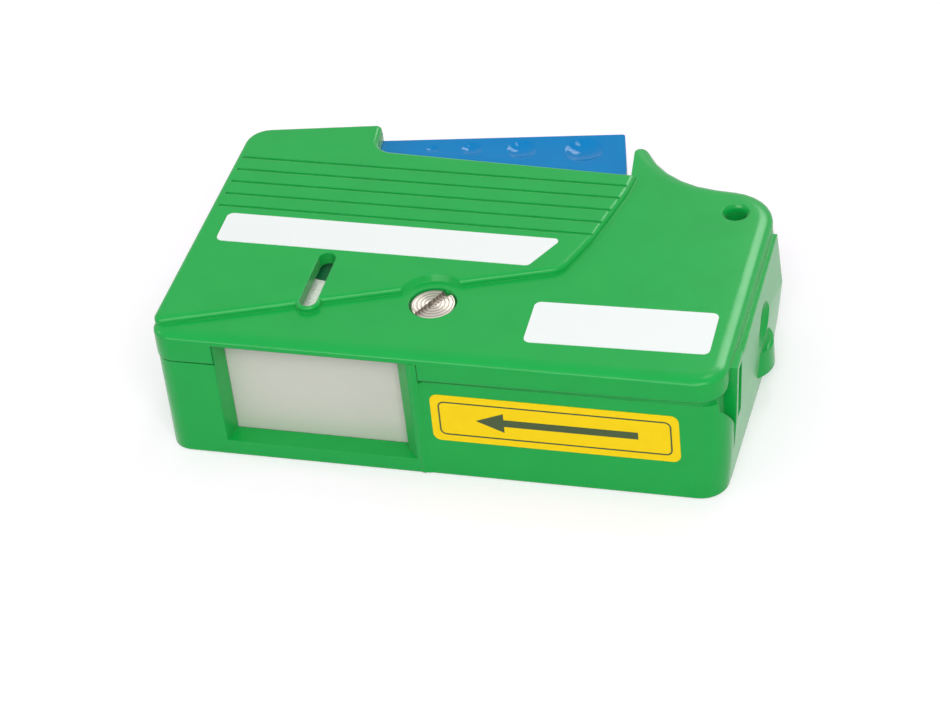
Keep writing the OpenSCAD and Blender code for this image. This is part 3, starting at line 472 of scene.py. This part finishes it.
def felt_washer():
    """The washer, turned with rounded corners and a wavy outer edge."""
    centre, outer, low, high = extent("supply_felt_washer")
    inner = FELT_BORE_RADIUS
    soft = (high - low) * FELT_SOFT_SHARE
    inset = soft * FELT_CORNER_SHARE
    corner = [(0, soft), (inset, inset), (soft, 0)]
    profile = [(outer - x, low + y) for x, y in reversed(corner)]
    profile += [(outer - x, high - y) for x, y in corner]
    profile += [(inner + x, high - y) for x, y in reversed(corner)]
    profile += [(inner + x, low + y) for x, y in corner]
    random.seed(FELT_SEED)
    phases = [random.uniform(0, FULL_TURN) for _ in range(FELT_WAVES)]

    def wobble(angle, radius):
        """Draws the outer edge in by an uneven amount, and leaves the bore round."""
        if radius < (inner + outer) / 2:
            return 0
        waves = sum(
            math.sin((FELT_FIRST_WAVE + FELT_WAVE_STEP * k) * angle + phase)
            for k, phase in enumerate(phases)
        )
        return -FELT_UNEVEN * (1 + waves / len(phases))

    mesh = lathe("felt_washer", profile, centre, FELT_SIDES, wobble)
    made = piece("felt_washer", mesh, felt, "case", "supply_felt_washer")


felt_washer()


# The coin screw: a turned head with fine tool rings and their painted reflection, a chamfer and a
# slot

COIN_SLOT_WIDTH = 2.1 * MM
COIN_SLOT_DEPTH = 0.9 * MM
COIN_SLOT_ANGLE = math.radians(62)
SCREW_HEAD_HEIGHT = 1.4 * MM
SCREW_SHANK_RADIUS = 2 * MM
SCREW_TIP_CHAMFER = 0.6 * MM
HEAD_CHAMFER = 0.3 * MM
RING_STEP = 0.45 * MM
RING_HEIGHT = 0.05 * MM
RING_DARK = 0.55
SCREW_SIDES = 120
SCREW_SMOOTH_ANGLE = math.radians(25)


def cut_coin_slot(screw, centre, outer, high):
    """Cuts the slot right across the head, with a block whose middle lies on the head's face."""
    shape = bmesh.new()
    bmesh.ops.create_cube(shape, size=1)
    cutter = bpy.data.objects.new("slot_cutter", finished_mesh("slot_cutter", shape))
    bpy.context.collection.objects.link(cutter)
    cutter.matrix_world = (
        Matrix.Translation((centre.x, centre.y, high))
        @ Matrix.Rotation(COIN_SLOT_ANGLE, 4, "Z")
        @ Matrix.Diagonal((4 * outer, COIN_SLOT_WIDTH, 2 * COIN_SLOT_DEPTH, 1))
    )
    cut = screw.modifiers.new("slot", "BOOLEAN")
    cut.object = cutter
    cut.solver = "EXACT"
    bpy.context.view_layer.update()
    ready = screw.evaluated_get(bpy.context.evaluated_depsgraph_get())
    cut_mesh = bpy.data.meshes.new_from_object(ready)
    screw.modifiers.clear()
    screw.data = cut_mesh
    bpy.data.objects.remove(cutter)


def coin_screw():
    """The screw, turned from its profile and slotted."""
    centre, outer, low, high = extent("coin_screw")
    rim = outer - HEAD_CHAMFER
    seat = high - SCREW_HEAD_HEIGHT
    count = round(rim / RING_STEP)
    profile = []
    for k in range(count):
        profile.append((rim * k / count, high - RING_HEIGHT))
        profile.append((rim * (k + 0.5) / count, high))
    profile += [
        (rim, high - RING_HEIGHT),
        (outer, high - HEAD_CHAMFER),
        (outer, seat),
        (SCREW_SHANK_RADIUS, seat),
        (SCREW_SHANK_RADIUS, low + SCREW_TIP_CHAMFER),
        (SCREW_SHANK_RADIUS - SCREW_TIP_CHAMFER, low),
        (0, low),
    ]
    # Painted reflection: darker rings in the steel's colour stand for the light that the turned
    # grooves catch
    turned_steel.tool_rings_and_painted_reflection(centre, step=2 * RING_STEP, dark=RING_DARK)
    mesh = lathe("turned_screw", profile, centre, SCREW_SIDES)
    made = piece(
        "turned_screw", mesh, turned_steel, "screw", "coin_screw",
        SCREW_SMOOTH_ANGLE,
    )
    cut_coin_slot(made, centre, outer, high)


coin_screw()


# Smooth fillets on the moulded pieces, and a round wire on the spring

WELD_GAP = 0.002 * MM
FILLET_ANGLE = math.radians(32)
WIRE_LEVELS = 2


def weld(node):
    """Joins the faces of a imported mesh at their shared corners."""
    node.modifiers.new("weld", "WELD").merge_threshold = WELD_GAP


def round_wire(node):
    """Rounds a wire that has few sides."""
    weld(node)
    node.modifiers.new("round wire", "SUBSURF").render_levels = WIRE_LEVELS


def smooth_fillets(node):
    """Smooths a moulded piece, apart from its edges."""
    for face in node.data.polygons:
        face.use_smooth = True
    weld(node)
    node.modifiers.new("part at edges", "EDGE_SPLIT").split_angle = FILLET_ANGLE
    node.modifiers.new("even normals", "WEIGHTED_NORMAL")


round_wire(nodes["lever_return_spring"])
smooth_fillets(nodes["case_base"])
smooth_fillets(nodes["top_cover"])
smooth_fillets(nodes["lever"])


# The camera, at the photograph's viewing angle

CAMERA_AT = Vector((194.26, -585.34, 498.18)) * MM
CAMERA_AZIMUTH = math.radians(18.869)
CAMERA_ELEVATION = math.radians(38.94)
CAMERA_ROLL = math.radians(-7.049)
CAMERA_LENS = 131.15
CAMERA_SENSOR = 36
CAMERA_REACH = 20

backward = Vector((
    math.sin(CAMERA_AZIMUTH) * math.cos(CAMERA_ELEVATION),
    -math.cos(CAMERA_AZIMUTH) * math.cos(CAMERA_ELEVATION),
    math.sin(CAMERA_ELEVATION),
))
rightward = Vector((math.cos(CAMERA_AZIMUTH), math.sin(CAMERA_AZIMUTH), 0))
upright = Matrix((rightward, backward.cross(rightward), backward)).transposed().to_4x4()
camera = bpy.data.objects.new("camera", bpy.data.cameras.new("camera"))
camera.data.lens = CAMERA_LENS
camera.data.sensor_width = CAMERA_SENSOR
camera.data.clip_end = CAMERA_REACH
camera.matrix_world = (
    Matrix.Translation(CAMERA_AT) @ upright @ Matrix.Rotation(CAMERA_ROLL, 4, "Z")
)
bpy.context.collection.objects.link(camera)
bpy.context.scene.camera = camera


# Lamps


def softbox(name, direction, distance, size, watts, aim=(0, 0, 0)):
    """A rectangular lamp that faces the point it aims at from that direction."""
    lamp = bpy.data.lights.new(name, "AREA")
    lamp.shape = "RECTANGLE"
    lamp.size, lamp.size_y = size
    lamp.energy = watts
    holder = bpy.data.objects.new(name, lamp)
    toward = Vector(direction).normalized()
    facing = toward.to_track_quat("Z", "Y").to_matrix().to_4x4()
    holder.matrix_world = Matrix.Translation(Vector(aim) + toward * distance) @ facing
    bpy.context.collection.objects.link(holder)
    return holder


softbox("overhead softbox", (0.15, 0.34, 0.93), distance=0.9, size=(0.14, 0.11), watts=0.53)
softbox("left strip", (-0.85, 0, 0.53), distance=0.9, size=(0.1, 0.1), watts=0.53)
softbox("right fill", (0.28, -0.7, 0.78), distance=1.3, size=(0.7, 0.45), watts=7.1)
softbox("back right box", (0.66, 0.72, 0.22), distance=1, size=(0.5, 0.2), watts=0.27)

# Two boxes that only show as a gloss: in the hollows of the lever and along the front edge
gloss_boxes = (
    softbox("glint box", (0.21, 0.735, 0.645), distance=1.2, size=(0.6, 0.28), watts=5),
    softbox("front strip", (-0.22, -0.88, 0.36), distance=1.3, size=(1.2, 0.36), watts=9),
)
for box in gloss_boxes:
    box.visible_diffuse = False

# What light comes through the plastic into the reel's chamber, seen through the slot
chamber_light = softbox(
    "chamber light",
    (0, 0, 1),
    distance=30.2 * MM,
    size=(12 * MM, 30 * MM),
    watts=0.0004,
    aim=(-28.5 * MM, -18 * MM, 0),
)
chamber_light.data.color = (0.85, 1, 0.82)


# Floor and world

WHITE = (1, 1, 1, 1)
FLOOR_REACH = 4
FLOOR_COLOUR = (0.74, 0.69, 0.74, 1)
FLOOR_ROUGHNESS = 0.9
FLOOR_GLOW = 0.375
DOME_STRENGTH = 0.6


def seen_directly(tree):
    """1 for what the camera sees itself, in a gloss or through glass, otherwise 0."""
    path = tree.nodes.new("ShaderNodeLightPath")
    total = path.outputs["Is Camera Ray"]
    for name in ("Is Glossy Ray", "Is Transmission Ray"):
        either = tree.nodes.new("ShaderNodeMath")
        either.operation = "MAXIMUM"
        tree.links.new(total, either.inputs[0])
        tree.links.new(path.outputs[name], either.inputs[1])
        total = either.outputs[0]
    return total


def direct_and_indirect(tree, direct, indirect):
    """A number that is direct where the surface is seen directly, and indirect elsewhere."""
    node = tree.nodes.new("ShaderNodeMapRange")
    node.inputs["To Min"].default_value = indirect
    node.inputs["To Max"].default_value = direct
    tree.links.new(seen_directly(tree), node.inputs["Value"])
    return node.outputs["Result"]


floor_corners = ((-1, -1), (1, -1), (1, 1), (-1, 1))
floor_mesh = bpy.data.meshes.new("floor")
floor_mesh.from_pydata(
    [(x * FLOOR_REACH, y * FLOOR_REACH, 0) for x, y in floor_corners], [], [(0, 1, 2, 3)]
)
floor = bpy.data.objects.new("floor", floor_mesh)
bpy.context.collection.objects.link(floor)
floor_finish = Finish("floor", FLOOR_COLOUR, FLOOR_ROUGHNESS, specular=0)
floor_finish.set("Emission Color", WHITE)
floor_glow = direct_and_indirect(floor_finish.tree, direct=FLOOR_GLOW, indirect=0)
floor_finish.set("Emission Strength", floor_glow)
floor_mesh.materials.append(floor_finish.material)

world = bpy.data.worlds.new("studio")
bpy.context.scene.world = world
world.use_nodes = True
background = world.node_tree.nodes["Background"]
background.inputs["Color"].default_value = WHITE
dome = direct_and_indirect(world.node_tree, direct=1, indirect=DOME_STRENGTH)
world.node_tree.links.new(dome, background.inputs["Strength"])

bpy.context.scene.view_settings.view_transform = "Standard"
